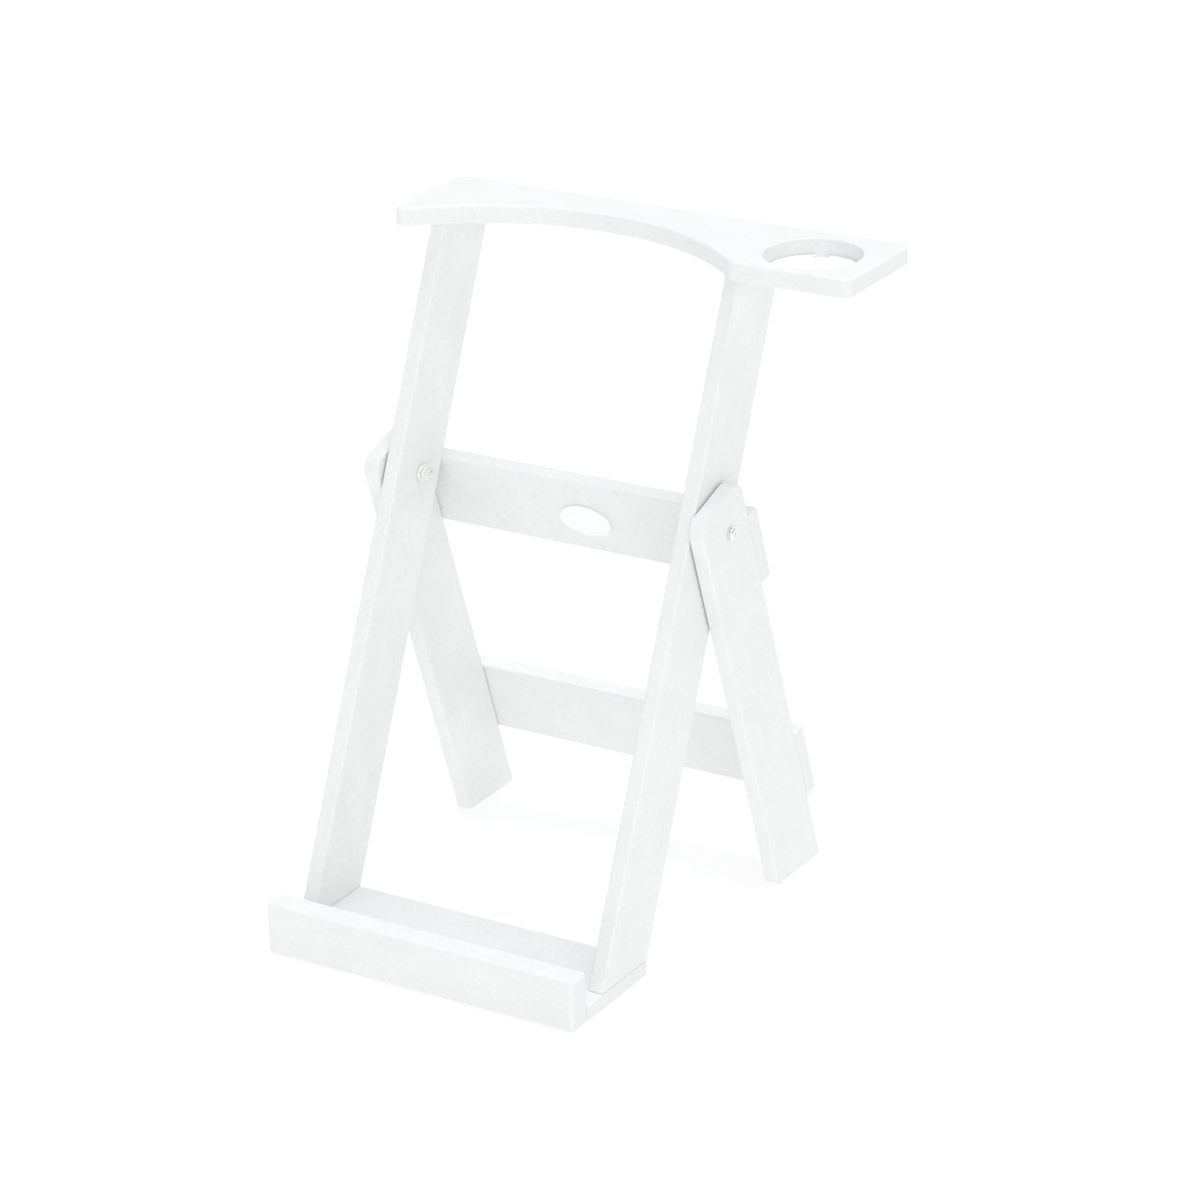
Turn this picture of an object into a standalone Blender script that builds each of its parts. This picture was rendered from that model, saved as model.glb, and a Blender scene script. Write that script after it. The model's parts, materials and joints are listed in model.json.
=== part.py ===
"""Folding golf-bag stand in white plastic lumber.

The front frame is two leaning stiles on a base board with a lip, under a tray with a
curved rest for the bag and a cup hole. The rear frame is two legs joined by two rails.
Two bolts on one axis hinge the rear frame to the stiles.

Metres, +Z up. The origin is the centre of the base board's underside, on the floor.
The bag side faces -Y, and the cup hole is at +X.
"""

import math

import bmesh
import bpy
from mathutils import Matrix, Vector

# Clearance between pieces that touch, and the rounding along every board's edges.
GAP = 0.0003
ARRIS = 0.0025

# Boards.
BOARD = 0.019
FRAME_WIDTH = 0.394
STILE_WIDTH = 0.086
LEG_WIDTH = 0.091
RAIL_WIDTH = 0.094
BASE_DEPTH = 0.123
LIP_THICKNESS = 0.032
LIP_HEIGHT = 0.0605
TOTAL_HEIGHT = 0.760

# Angles: how far the stiles lean back, and the legs the other way, from upright.
STILE_LEAN = math.radians(24.04)
LEG_LEAN = math.radians(18.34)

# The hinge. Its place is measured up from the floor and square to the boards' edges.
PIVOT_HEIGHT = 0.4626
PIVOT_TO_STILE_REAR = 0.0359
PIVOT_TO_LEG_FRONT = 0.051
PIVOT_TO_LEG_TOP = 0.0455
LEG_CORNER = 0.018
HINGE_SPACE = 0.0016

# Rails, measured down the legs from the hinge.
UPPER_RAIL_DROP = 0.008
LOWER_RAIL_DROP = 0.321

# Tray, with the bag rest as one arc and the cup hole at the +X end.
TRAY_THICKNESS = 0.022
TRAY_LEFT = -0.219
TRAY_RIGHT = 0.350
TRAY_DEPTH = 0.1397
TRAY_CORNER = 0.010
TRAY_ARRIS = 0.0045
BAG_RADIUS = 0.295
BAG_RECESS = 0.085
CUP_X = 0.273
CUP_RADIUS = 0.053
CUP_FROM_FRONT = 0.064
CUP_DEPTH = 0.0175
CUP_LEDGE = 0.006
CUP_RIM = 0.002
CUP_FLOOR_THICKNESS = 0.0024
DRAIN_RADIUS = 0.0092
DRAIN_OFFSET = Vector((-0.0145, 0.0435))

# Oval badge on the upper rail.
BADGE_WIDTH = 0.066
BADGE_HEIGHT = 0.041
BADGE_THICKNESS = 0.0025
BADGE_DROP = 0.0595

# Hinge hardware: an M8 bolt with a button head, washers, a spacer and a lock nut.
BOLT_RADIUS = 0.004
BOLT_HEAD_RADIUS = 0.0068
BOLT_HEAD_HEIGHT = 0.0042
BOLT_SOCKET_RADIUS = 0.0029
BOLT_SOCKET_DEPTH = 0.0026
BOLT_END = 0.0016
WASHER_THICKNESS = 0.0016
HEAD_WASHER_RADIUS = 0.008
NUT_WASHER_RADIUS = 0.0115
SPACER_RADIUS = 0.013
NUT_RADIUS = 0.0075
NUT_HEIGHT = 0.0085

# Wood-screw shape with a countersunk head.
SCREW_HEAD_RADIUS = 0.0044
SCREW_RADIUS = 0.0021
SCREW_TIP = 0.005
SCREW_LENGTH = 0.050
LIP_SCREW_LENGTH = 0.060
BASE_SCREW_INSET = 0.0005

# Plugs that hide the tray's and the lip's screws, flush with the boards.
PLUG_RADIUS = 0.0048
PLUG_DEPTH = 0.006

# How finely round shapes are divided.
SCREW_SIDES = 12
PLUG_SIDES = 24
BOLT_SIDES = 24
OVAL_SIDES = 36
CUP_SIDES = 48
CORNER_STEPS = 6
BAG_STEPS = 24

# Worked out from the driving dimensions.
HALF_WIDTH = FRAME_WIDTH / 2
STILE_MID = HALF_WIDTH - BOARD / 2
LEG_INNER = HALF_WIDTH + HINGE_SPACE
LEG_MID = LEG_INNER + BOARD / 2
LEG_OUTER = LEG_INNER + BOARD
LEG_REAR = LEG_WIDTH - PIVOT_TO_LEG_FRONT
STILE_DEPTH = STILE_WIDTH / math.cos(STILE_LEAN)
TRAY_UNDERSIDE = TOTAL_HEIGHT - TRAY_THICKNESS
BASE_REAR = BASE_DEPTH / 2
PIVOT_Y = (
    BASE_REAR
    + (PIVOT_HEIGHT - BOARD) * math.tan(STILE_LEAN)
    - PIVOT_TO_STILE_REAR / math.cos(STILE_LEAN)
)
TRAY_REAR = BASE_REAR + (TRAY_UNDERSIDE - BOARD) * math.tan(STILE_LEAN)
TRAY_FRONT = TRAY_REAR - TRAY_DEPTH
CUP_Y = TRAY_FRONT + CUP_FROM_FRONT

# A board that stands on edge has its outline in the YZ plane and its thickness along X.
UPRIGHT = Matrix(((0, 0, 1), (1, 0, 0), (0, 1, 0))).to_4x4()
HEAD_UP = Matrix.Identity(4)
HEAD_DOWN = Matrix.Rotation(math.pi, 4, "X")
HEAD_FRONT = Matrix.Rotation(math.pi / 2, 4, "X")
HEAD_REAR = Matrix.Rotation(-math.pi / 2, 4, "X")
HEAD_RIGHT = Matrix.Rotation(math.pi / 2, 4, "Y")
HEAD_LEFT = Matrix.Rotation(-math.pi / 2, 4, "Y")
SIDES = {"left": -1, "right": 1}


def clear_scene():
    for obj in list(bpy.data.objects):
        bpy.data.objects.remove(obj, do_unlink=True)


def new_collection(name):
    collection = bpy.data.collections.new(name)
    bpy.context.scene.collection.children.link(collection)
    return collection


def new_material(name, colour, roughness, metallic=0.0):
    material = bpy.data.materials.new(name)
    material.use_nodes = True
    shader = material.node_tree.nodes["Principled BSDF"]
    shader.inputs["Base Color"].default_value = (*colour, 1)
    shader.inputs["Roughness"].default_value = roughness
    shader.inputs["Metallic"].default_value = metallic
    material.diffuse_color = (*colour, 1)
    return material


clear_scene()
STAND = new_collection("folding_bag_stand")
CUTTERS = new_collection("cutters")
LUMBER = new_material("white_plastic_lumber", (0.86, 0.86, 0.87), 0.6)
PLATE = new_material("smooth_white_plastic", (0.93, 0.94, 0.96), 0.3)
NYLON = new_material("natural_nylon", (0.80, 0.80, 0.76), 0.45)
STEEL = new_material("stainless_steel", (0.75, 0.75, 0.74), 0.3, 1.0)
COATED = new_material("white_coated_steel", (0.85, 0.85, 0.85), 0.4)


def add_object(name, mesh, material, place=Matrix.Identity(4), parent=None):
    """One sub-part in the stand's collection."""
    obj = bpy.data.objects.new(name, mesh)
    obj.data.materials.append(material)
    STAND.objects.link(obj)
    obj.parent = parent
    obj.matrix_local = place
    return obj


def add_cutter(name, mesh, place=Matrix.Identity(4), parent=None):
    obj = bpy.data.objects.new(name, mesh)
    obj.hide_render = True
    obj.display_type = "WIRE"
    CUTTERS.objects.link(obj)
    obj.parent = parent
    obj.matrix_local = place
    return obj


def cut(board, cutter):
    modifier = board.modifiers.new("cut_" + cutter.name, "BOOLEAN")
    modifier.operation = "DIFFERENCE"
    modifier.solver = "EXACT"
    modifier.object = cutter


def round_edges(board, radius=ARRIS):
    modifier = board.modifiers.new("round_edges", "BEVEL")
    modifier.width = radius
    modifier.segments = 2
    modifier.limit_method = "ANGLE"
    modifier.angle_limit = math.radians(30)


def arc(centre, radius, start, end, steps=CORNER_STEPS):
    """Points along an arc in equal steps, with both ends."""
    angles = [start + (end - start) * i / steps for i in range(steps + 1)]
    return [(centre[0] + radius * math.cos(a), centre[1] + radius * math.sin(a)) for a in angles]


def circle(radius, sides):
    return arc((0, 0), radius, 0, 2 * math.pi, sides)[:-1]


def outline_mesh(name, outline, thickness):
    """A flat plate: a filled 2D curve, made a mesh with its caps welded on."""
    curve = bpy.data.curves.new(name + "_outline", "CURVE")
    curve.dimensions = "2D"
    curve.fill_mode = "BOTH"
    curve.extrude = thickness / 2
    spline = curve.splines.new("POLY")
    spline.points.add(len(outline) - 1)
    for point, (x, y) in zip(spline.points, outline):
        point.co = (x, y, 0, 1)
    spline.use_cyclic_u = True
    guide = bpy.data.objects.new(name + "_outline", curve)
    CUTTERS.objects.link(guide)
    graph = bpy.context.evaluated_depsgraph_get()
    mesh = bpy.data.meshes.new_from_object(guide.evaluated_get(graph))
    bpy.data.objects.remove(guide)
    bpy.data.curves.remove(curve)
    mesh.name = name
    mesh.materials.clear()
    shape = bmesh.new()
    shape.from_mesh(mesh)
    bmesh.ops.remove_doubles(shape, verts=shape.verts, dist=0.00001)
    bmesh.ops.dissolve_limit(
        shape, angle_limit=math.radians(0.5), verts=shape.verts, edges=shape.edges
    )
    bmesh.ops.recalc_face_normals(shape, faces=shape.faces)
    shape.to_mesh(mesh)
    shape.free()
    return mesh


def box_mesh(name, low, high):
    """A box between two corners."""
    shape = bmesh.new()
    bmesh.ops.create_cube(shape, size=1)
    low, high = Vector(low), Vector(high)
    size = Matrix.Diagonal(high - low).to_4x4()
    bmesh.ops.transform(
        shape, matrix=Matrix.Translation((low + high) / 2) @ size, verts=shape.verts
    )
    mesh = bpy.data.meshes.new(name)
    shape.to_mesh(mesh)
    shape.free()
    return mesh


def profile_mesh(name, profile, closed=False):
    """A turned profile as bare edges in the XZ plane, for a Screw modifier."""
    count = len(profile)
    edges = [(i, (i + 1) % count) for i in range(count if closed else count - 1)]
    mesh = bpy.data.meshes.new(name)
    mesh.from_pydata([(r, 0, z) for r, z in profile], edges, [])
    return mesh


def turn(obj, sides):
    """Turns the object's profile once round its own Z axis."""
    modifier = obj.modifiers.new("turn", "SCREW")
    modifier.steps = sides
    modifier.render_steps = sides
    modifier.use_merge_vertices = True
    modifier.merge_threshold = 0.00001
    modifier.use_smooth_shade = True


def screw_profile(length, clearance=0.0):
    """Countersunk screw, its head at z = 0. A clearance makes the hole for it."""
    head, shank = SCREW_HEAD_RADIUS + clearance, SCREW_RADIUS + clearance
    top = 0.002 if clearance else 0.0
    rim = -0.0004 - clearance
    return [
        (0, top),
        (head, top),
        (head, rim),
        (shank, rim - (head - shank)),
        (shank, SCREW_TIP - length),
        (0, -length - clearance),
    ]


def drive_screw(name, boards, point, facing, length=SCREW_LENGTH, parent=None):
    """A screw with its head at a point, and a hole for it in each board it holds."""
    place = Matrix.Translation(point) @ facing
    mesh = profile_mesh(name, screw_profile(length))
    turn(add_object(name, mesh, COATED, place, parent), SCREW_SIDES)
    hole = profile_mesh(name + "_hole", screw_profile(length, GAP))
    cutter = add_cutter(name + "_hole", hole, place, parent)
    turn(cutter, SCREW_SIDES)
    for board in boards:
        cut(board, cutter)


def drive_plugged_screw(name, boards, point, facing, length=SCREW_LENGTH):
    """A screw sunk in a counterbore under a point, with a plug over it."""
    place = Matrix.Translation(point) @ facing
    sunk = place @ Vector((0, 0, -PLUG_DEPTH - GAP))
    drive_screw(name, boards, sunk, facing, length)
    profile = [(0, 0), (PLUG_RADIUS, 0), (PLUG_RADIUS, -PLUG_DEPTH), (0, -PLUG_DEPTH)]
    name = name.replace("screw", "plug")
    turn(add_object(name, profile_mesh(name, profile), LUMBER, place), PLUG_SIDES)
    radius, floor = PLUG_RADIUS + GAP, -PLUG_DEPTH - GAP
    counterbore = [(0, 0.002), (radius, 0.002), (radius, floor), (0, floor)]
    cutter = add_cutter(name + "_hole", profile_mesh(name + "_hole", counterbore), place)
    turn(cutter, PLUG_SIDES)
    cut(boards[0], cutter)


def ring(name, radius, thickness, material, place):
    """A washer or spacer round the bolt, standing on its own origin."""
    bore = BOLT_RADIUS + GAP
    profile = [(bore, 0), (bore, thickness), (radius, thickness), (radius, 0)]
    turn(add_object(name, profile_mesh(name, profile, closed=True), material, place), BOLT_SIDES)


def bolt_hole(name, board, place, parent=None):
    """A clear hole for the bolt right through a board, along the hinge axis."""
    shape = bmesh.new()
    bmesh.ops.create_cone(
        shape,
        cap_ends=True,
        segments=BOLT_SIDES,
        radius1=BOLT_RADIUS + GAP,
        radius2=BOLT_RADIUS + GAP,
        depth=2 * BOARD,
    )
    mesh = bpy.data.meshes.new(name)
    shape.to_mesh(mesh)
    shape.free()
    cut(board, add_cutter(name, mesh, place, parent))


def stile_front(height):
    """The Y of a stile's front edge at a height."""
    return BASE_REAR - STILE_DEPTH + (height - BOARD) * math.tan(STILE_LEAN)


def make_stile(side):
    foot, head = BOARD + GAP, TRAY_UNDERSIDE - GAP
    outline = [
        (stile_front(foot), foot),
        (stile_front(foot) + STILE_DEPTH, foot),
        (stile_front(head) + STILE_DEPTH, head),
        (stile_front(head), head),
    ]
    name = "stile_" + side
    place = Matrix.Translation((SIDES[side] * STILE_MID, 0, 0)) @ UPRIGHT
    stile = add_object(name, outline_mesh(name, outline, BOARD), LUMBER, place)
    round_edges(stile)
    hole = Matrix.Translation((SIDES[side] * STILE_MID, PIVOT_Y, PIVOT_HEIGHT)) @ HEAD_RIGHT
    bolt_hole(name + "_bolt_hole", stile, hole)
    return stile


def make_base():
    low = (-HALF_WIDTH, -BASE_REAR, 0)
    high = (HALF_WIDTH, BASE_REAR, BOARD)
    base = add_object("base_board", box_mesh("base_board", low, high), LUMBER)
    round_edges(base)
    return base


def make_lip():
    rear = -BASE_REAR - GAP
    low = (-HALF_WIDTH, rear - LIP_THICKNESS, 0)
    high = (HALF_WIDTH, rear, LIP_HEIGHT)
    lip = add_object("lip_board", box_mesh("lip_board", low, high), LUMBER)
    round_edges(lip, 2 * ARRIS)
    return lip


def tray_outline():
    """Straight ends and back, and the bag rest as one arc in front.

    The nose at the left end and the shoulder at the right of the bag rest are fillets,
    each as far from the bag rest's centre as both radii together.
    """
    corner = TRAY_CORNER
    rest_y = TRAY_FRONT + BAG_RECESS - BAG_RADIUS
    reach = BAG_RADIUS + corner
    left, right = TRAY_LEFT + corner, TRAY_RIGHT - corner
    front, rear = TRAY_FRONT + corner, TRAY_REAR - corner
    nose_y = rest_y + math.sqrt(reach**2 - left**2)
    nose_angle = math.atan2(nose_y - rest_y, left)
    shoulder_x = math.sqrt(reach**2 - (front - rest_y) ** 2)
    shoulder_angle = math.atan2(front - rest_y, shoulder_x)
    quarter = math.pi / 2
    return (
        arc((left, nose_y), corner, 2 * quarter, nose_angle + 2 * quarter, 2 * CORNER_STEPS)
        + arc((0, rest_y), BAG_RADIUS, nose_angle, shoulder_angle, BAG_STEPS)[1:-1]
        + arc((shoulder_x, front), corner, shoulder_angle + 2 * quarter, 3 * quarter)
        + arc((right, front), corner, 3 * quarter, 4 * quarter)
        + arc((right, rear), corner, 0, quarter)
        + arc((left, rear), corner, quarter, 2 * quarter)
    )


def make_tray():
    place = Matrix.Translation((0, 0, TOTAL_HEIGHT - TRAY_THICKNESS / 2))
    mesh = outline_mesh("tray_board", tray_outline(), TRAY_THICKNESS)
    tray = add_object("tray_board", mesh, LUMBER, place)
    round_edges(tray, TRAY_ARRIS)
    ledge = CUP_DEPTH + CUP_FLOOR_THICKNESS + GAP
    pocket = [
        (0, 0.01),
        (CUP_RADIUS + CUP_RIM + 0.01, 0.01),
        (CUP_RADIUS, -CUP_RIM),
        (CUP_RADIUS, -ledge),
        (CUP_RADIUS - CUP_LEDGE, -ledge),
        (CUP_RADIUS - CUP_LEDGE, -TRAY_THICKNESS - 0.01),
        (0, -TRAY_THICKNESS - 0.01),
    ]
    place = Matrix.Translation((CUP_X, CUP_Y, TOTAL_HEIGHT))
    cutter = add_cutter("cup_pocket", profile_mesh("cup_pocket", pocket), place)
    turn(cutter, CUP_SIDES)
    cut(tray, cutter)
    return tray


def make_cup_floor(tray):
    """A disc pressed into the pocket, resting on its ledge, with a drain down through both."""
    rim = circle(CUP_RADIUS - GAP, CUP_SIDES)
    mesh = outline_mesh("cup_floor", rim, CUP_FLOOR_THICKNESS)
    height = TOTAL_HEIGHT - CUP_DEPTH - CUP_FLOOR_THICKNESS / 2
    floor = add_object("cup_floor", mesh, PLATE, Matrix.Translation((CUP_X, CUP_Y, height)))
    # The drain starts level with the disc, so the pocket's wall above it stays whole.
    low, high = TRAY_UNDERSIDE - 0.002, TOTAL_HEIGHT - CUP_DEPTH + GAP
    mesh = outline_mesh("drain", circle(DRAIN_RADIUS, BOLT_SIDES), high - low)
    middle = (CUP_X + DRAIN_OFFSET.x, CUP_Y + DRAIN_OFFSET.y, (low + high) / 2)
    drain = add_cutter("drain", mesh, Matrix.Translation(middle))
    cut(floor, drain)
    cut(tray, drain)


def leg_foot(y):
    """Where a line down the leg meets the floor, in the leg's own frame."""
    return -(PIVOT_HEIGHT + y * math.sin(LEG_LEAN)) / math.cos(LEG_LEAN)


def make_leg(side, pivot):
    front, rear, top = -PIVOT_TO_LEG_FRONT, LEG_REAR, PIVOT_TO_LEG_TOP
    corner = LEG_CORNER
    quarter = math.pi / 2
    outline = [(front, leg_foot(front)), (rear, leg_foot(rear))]
    outline += arc((rear - corner, top - corner), corner, 0, quarter)
    outline += arc((front + corner, top - corner), corner, quarter, 2 * quarter)
    name = "leg_" + side
    place = Matrix.Translation((SIDES[side] * LEG_MID, 0, 0)) @ UPRIGHT
    leg = add_object(name, outline_mesh(name, outline, BOARD), LUMBER, place, pivot)
    round_edges(leg)
    hole = Matrix.Translation((SIDES[side] * LEG_MID, 0, 0)) @ HEAD_RIGHT
    bolt_hole(name + "_bolt_hole", leg, hole, pivot)
    return leg


def make_rail(name, drop, pivot):
    """A board across the legs' rear edges, as wide as the legs' outer faces."""
    low = (-LEG_OUTER, LEG_REAR + GAP, -drop - RAIL_WIDTH)
    high = (LEG_OUTER, LEG_REAR + GAP + BOARD, -drop)
    rail = add_object(name, box_mesh(name, low, high), LUMBER, parent=pivot)
    round_edges(rail)
    return rail


def make_badge(pivot):
    """A plain oval plate, bonded to the front of the upper rail."""
    oval = [(x * BADGE_WIDTH, y * BADGE_HEIGHT) for x, y in circle(0.5, OVAL_SIDES)]
    face = LEG_REAR - BADGE_THICKNESS / 2
    place = Matrix.Translation((0, face, -BADGE_DROP)) @ HEAD_FRONT
    mesh = outline_mesh("badge", oval, BADGE_THICKNESS)
    add_object("badge", mesh, PLATE, place, pivot)


def make_hinge(side):
    """Bolt, washers, spacer and nut on one side, stacked along the hinge axis."""
    facing = HEAD_RIGHT if side == "right" else HEAD_LEFT
    axis = Matrix.Translation((0, PIVOT_Y, PIVOT_HEIGHT)) @ facing

    def at(distance):
        return axis @ Matrix.Translation((0, 0, distance))

    nut_washer = HALF_WIDTH - BOARD - GAP - WASHER_THICKNESS
    nut = nut_washer - GAP - NUT_HEIGHT
    head_washer = LEG_OUTER + GAP
    head = head_washer + WASHER_THICKNESS + GAP
    spacer = HINGE_SPACE - 2 * GAP
    ring("nut_washer_" + side, NUT_WASHER_RADIUS, WASHER_THICKNESS, STEEL, at(nut_washer))
    ring("hinge_spacer_" + side, SPACER_RADIUS, spacer, NYLON, at(HALF_WIDTH + GAP))
    ring("head_washer_" + side, HEAD_WASHER_RADIUS, WASHER_THICKNESS, STEEL, at(head_washer))
    make_bolt(side, at(head), head - nut + BOLT_END)
    make_nut(side, at(nut))


def make_bolt(side, place, length):
    crown = [
        (BOLT_HEAD_RADIUS * math.cos(a), BOLT_HEAD_HEIGHT * math.sin(a))
        for a in (math.radians(step) for step in (50, 25, 0))
    ]
    tip = BOLT_RADIUS - 0.001
    profile = [(0, crown[0][1])] + crown
    profile += [(BOLT_RADIUS, 0), (BOLT_RADIUS, 0.001 - length), (tip, -length), (0, -length)]
    name = "pivot_bolt_" + side
    bolt = add_object(name, profile_mesh(name, profile), STEEL, place)
    turn(bolt, BOLT_SIDES)
    shape = bmesh.new()
    bmesh.ops.create_cone(
        shape,
        cap_ends=True,
        segments=6,
        radius1=BOLT_SOCKET_RADIUS,
        radius2=BOLT_SOCKET_RADIUS,
        depth=2 * BOLT_SOCKET_DEPTH,
    )
    mesh = bpy.data.meshes.new(name + "_socket")
    shape.to_mesh(mesh)
    shape.free()
    place = place @ Matrix.Translation((0, 0, crown[0][1]))
    cut(bolt, add_cutter(name + "_socket", mesh, place))


def make_nut(side, place):
    name = "lock_nut_" + side
    lift = Matrix.Translation((0, 0, NUT_HEIGHT / 2))
    mesh = outline_mesh(name, circle(NUT_RADIUS, 6), NUT_HEIGHT)
    nut = add_object(name, mesh, STEEL, place @ lift)
    round_edges(nut, 0.0005)
    bolt_hole(name + "_thread", nut, place @ lift)


def make_front_frame():
    base, lip, tray = make_base(), make_lip(), make_tray()
    make_cup_floor(tray)
    for side, sign in SIDES.items():
        stile = make_stile(side)
        x = sign * STILE_MID
        foot = stile_front(BOARD) + STILE_DEPTH / 2
        head = stile_front(TRAY_UNDERSIDE) + STILE_DEPTH / 2
        for end, shift in (("front", -0.020), ("rear", 0.022)):
            point = (x, foot + shift, BASE_SCREW_INSET)
            drive_screw(f"base_screw_{side}_{end}", (base, stile), point, HEAD_DOWN)
            point = (x, head + shift, TOTAL_HEIGHT - GAP)
            drive_plugged_screw(f"tray_screw_{side}_{end}", (tray, stile), point, HEAD_UP)
        make_hinge(side)
    for place, x in (("left", -0.150), ("middle", 0.0), ("right", 0.150)):
        point = (x, -BASE_REAR - LIP_THICKNESS, BOARD / 2)
        name = "lip_screw_" + place
        drive_plugged_screw(name, (lip, base), point, HEAD_FRONT, LIP_SCREW_LENGTH)


def make_rear_frame():
    """Everything here hangs from an empty on the hinge axis, turned along the legs."""
    pivot = bpy.data.objects.new("rear_frame_pivot", None)
    STAND.objects.link(pivot)
    pivot.matrix_world = Matrix.Translation((0, PIVOT_Y, PIVOT_HEIGHT)) @ Matrix.Rotation(
        LEG_LEAN, 4, "X"
    )
    legs = {side: make_leg(side, pivot) for side in SIDES}
    make_badge(pivot)
    for name, drop in (("upper_rail", UPPER_RAIL_DROP), ("lower_rail", LOWER_RAIL_DROP)):
        rail = make_rail(name, drop, pivot)
        for side, sign in SIDES.items():
            for end, share in (("top", 0.25), ("bottom", 0.75)):
                point = (sign * LEG_MID, LEG_REAR + BOARD, -drop - share * RAIL_WIDTH)
                boards = (rail, legs[side])
                drive_screw(f"{name}_screw_{side}_{end}", boards, point, HEAD_REAR, parent=pivot)


make_front_frame()
make_rear_frame()
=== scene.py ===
"""Finished look of a folding golf-bag stand in white plastic lumber.

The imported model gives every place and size. This script shapes the boards, the hinge
hardware, the screws, the cup floor and the badge round it, and lights them.

Metres, +Z up. The bag side faces -Y, and the cup pocket is at +X.
"""

import json
import math

import bmesh
import bpy
from bpy.props import FloatProperty, FloatVectorProperty, IntProperty, PointerProperty
from mathutils import Matrix, Vector


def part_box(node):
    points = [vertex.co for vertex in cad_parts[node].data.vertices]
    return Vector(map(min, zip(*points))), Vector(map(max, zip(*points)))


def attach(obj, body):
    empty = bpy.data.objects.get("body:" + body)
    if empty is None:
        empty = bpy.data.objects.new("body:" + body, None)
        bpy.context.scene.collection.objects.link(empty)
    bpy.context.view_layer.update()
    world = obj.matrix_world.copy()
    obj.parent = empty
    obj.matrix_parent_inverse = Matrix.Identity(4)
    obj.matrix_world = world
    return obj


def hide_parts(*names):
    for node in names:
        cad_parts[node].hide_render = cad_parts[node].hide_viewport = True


bl_info = {
    "name": "Folding Golf-Bag Stand",
    "version": (1, 0, 0),
    "blender": (4, 5, 0),
    "location": "3D View > Sidebar > Bag Stand",
    "description": "Shapes and finishes the boards and hardware of a folding golf-bag stand",
    "category": "Object",
}

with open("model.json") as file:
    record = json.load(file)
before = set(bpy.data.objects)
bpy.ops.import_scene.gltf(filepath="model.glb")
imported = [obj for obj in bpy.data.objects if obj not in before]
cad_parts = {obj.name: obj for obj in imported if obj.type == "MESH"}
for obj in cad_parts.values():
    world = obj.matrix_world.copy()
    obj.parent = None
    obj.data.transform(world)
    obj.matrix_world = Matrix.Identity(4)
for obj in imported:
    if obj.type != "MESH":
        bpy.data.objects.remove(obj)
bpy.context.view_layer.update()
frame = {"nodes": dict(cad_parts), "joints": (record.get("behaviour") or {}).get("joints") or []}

MM = 0.001
FRONT, REAR = "front_frame", "rear_frame"
SIDES = {"left": -1, "right": 1}
HINGE = Vector(frame["joints"][0]["pos_m"])
IDENTITY = Matrix.Identity(4)
QUARTER = math.pi / 2

# Turns an outline drawn in X and Y so that it stands in the YZ plane, its thickness along X.
UPRIGHT = Matrix(((0, 0, 1, 0), (1, 0, 0, 0), (0, 1, 0, 0), (0, 0, 0, 1)))
# Swaps X and Z, so that the first axis runs up an upright board.
LENGTH_UP = Matrix(((0, 0, 1, 0), (0, 1, 0, 0), (1, 0, 0, 0), (0, 0, 0, 1)))

# Room round a fastener in its hole, and how far a hole's cutter stands out of the board.
HOLE_ROOM = 0.3 * MM
CUTTER_PROUD = 2 * MM
# Room round a plug, which is a tight fit, and the share of rounding at a sawn end.
PLUG_ROOM = 0.05 * MM
SAWN_SHARE = 0.2

# How finely round shapes are divided.
ARRIS_STEPS = 4
CORNER_STEPS = 12
BAG_REST_STEPS = 96
POCKET_SIDES = 128
HARDWARE_SIDES = 64
SCREW_SIDES = 32
BOLT_DOME_STEPS = 10
THREAD_STEPS = 32

# An edge bent by more than this is a real corner, for rounding and then for shading.
REAL_CORNER = math.radians(30)
SHARP_CORNER = math.radians(32)

# The cup floor's edge, its flat rim, the slope inside that, and the shallow dish.
DISC_EDGE, DISC_RIM, DISC_SLOPE, DISC_DISH = 0.5 * MM, 5 * MM, 1 * MM, 0.25 * MM
# How the badge's panel swells: at its middle, and at a share of its radius.
BADGE_SWELL, BADGE_SHOULDER, BADGE_SHOULDER_SWELL = 0.1 * MM, 0.6, 0.06 * MM

# The bolt head's dome as a share of its radius, its edge, and the chamfer on the bolt's end.
BOLT_CROWN, BOLT_EDGE, BOLT_CHAMFER = 0.64, 0.4 * MM, 0.5 * MM
# The lock nut's chamfers and collar, and the recess that holds its nylon insert.
HEXAGON_ANGLE = math.radians(30)
NUT_BORE_ROOM, NUT_CHAMFER = 0.15 * MM, 0.1 * MM
COLLAR_INSET, COLLAR_SLOPE, COLLAR_ROUND = 0.35 * MM, 0.2 * MM, 0.6 * MM
RECESS_WIDTH, RECESS_DEPTH = 1.1 * MM, 0.9 * MM
INSERT_WIDTH, INSERT_TOP, INSERT_FOOT = 1.2 * MM, 0.15 * MM, 0.85 * MM
INSERT_ROOM, INSERT_LEAD = 0.05 * MM, 0.2 * MM
WASHER_ROOM = 0.2 * MM
PLUG_EDGE = 0.1 * MM

# Half the floor's width in metres, and how far it lies under the stand.
FLOOR_REACH = 14.0
FLOOR_DROP = 0.5 * MM
# Each light's colour, and the way to it from the stand.
LIGHTS = {
    "key": ((0.91, 0.945, 1.0), Vector((0.1, 1.2, 5.0))),
    "fill": ((0.99, 1.0, 0.985), Vector((2.6, -3.8, 1.0))),
}


def srgb(hex_colour):
    """A colour such as F2F3F4 as linear red, green and blue."""
    shares = [int(hex_colour[i : i + 2], 16) / 255 for i in (0, 2, 4)]
    return [s / 12.92 if s <= 0.04045 else ((s + 0.055) / 1.055) ** 2.4 for s in shares]


# ---------------------------------------------------------------- settings


def length_property(name, description, millimetres):
    return FloatProperty(
        name=name,
        description=description,
        default=millimetres * MM,
        min=0.0,
        precision=4,
        subtype="DISTANCE",
        unit="LENGTH",
    )


def angle_property(name, description, degrees):
    return FloatProperty(
        name=name, description=description, default=math.radians(degrees), subtype="ANGLE"
    )


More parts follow.
